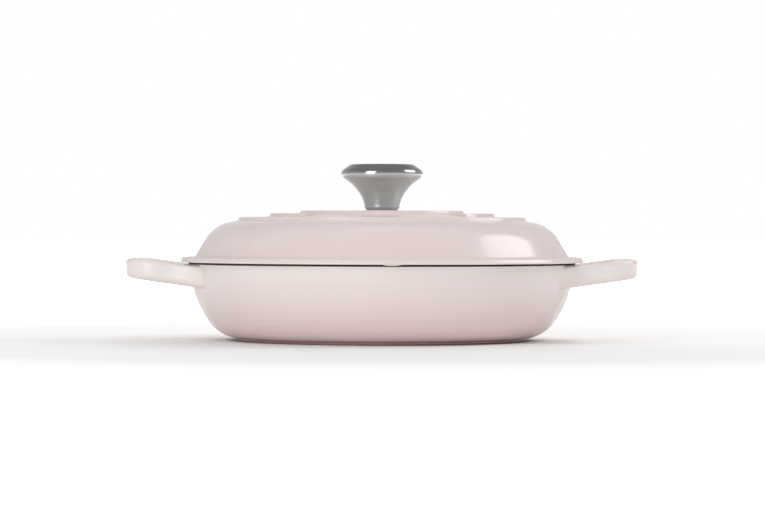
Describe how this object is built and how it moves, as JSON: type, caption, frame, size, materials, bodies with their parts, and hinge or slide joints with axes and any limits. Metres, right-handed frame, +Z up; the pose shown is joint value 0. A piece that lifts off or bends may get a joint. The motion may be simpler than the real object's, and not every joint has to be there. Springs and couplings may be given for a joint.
{
  "type": "braiser",
  "caption": "Shallow round enamelled cast-iron braiser with loop handles and a domed, stepped-ring lid lifted by a flared steel knob.",
  "frame": {"origin": "centre of the pot's foot ring on the table, under the middle of the lid's knob", "axes": "+Z up, X along the two handles, -Y towards the front, where the lid's middle ring is open"},
  "size_m": [0.3408, 0.2708, 0.1184],
  "materials": {
    "pink_enamel": "pale pink gloss enamel on cast iron",
    "sand_enamel": "pale sand gloss enamel coat",
    "dark_enamel": "dark matt enamel coat",
    "knob_steel": "brushed flank, polished crown",
    "fixing_steel": "plain bright steel"
  },
  "bodies": {
    "pot": {"pot_casting": "pink_enamel", "pot_interior_enamel": "sand_enamel", "pot_rim_enamel": "dark_enamel"},
    "lid": {"lid_casting": "pink_enamel", "lid_interior_enamel": "sand_enamel", "lid_rim_enamel": "dark_enamel", "screw_washer": "fixing_steel", "spring_washer": "fixing_steel"},
    "screw": {"knob_screw": "fixing_steel"},
    "knob": {"knob_shell": "knob_steel", "knob_base_plate": "fixing_steel", "knob_insert": "fixing_steel"}
  },
  "joints": [
    {"name": "lid_lift", "type": "slide", "parent": "pot", "child": "lid", "axis": [0, 0, 1], "range_m": [0, 0.12]},
    {"name": "screw_turn", "type": "hinge", "parent": "lid", "child": "screw", "pos_m": [0, 0, 0.0794], "axis": [0, 0, -1], "range_deg": [0, 3600]},
    {"name": "knob_rise", "type": "slide", "parent": "lid", "child": "knob", "axis": [0, 0, 1], "range_m": [0, 0.01]}
  ],
  "couplings": [
    {"joint": "screw_turn", "follows": "knob_rise", "rad_per_m": 6283.2}
  ]
}
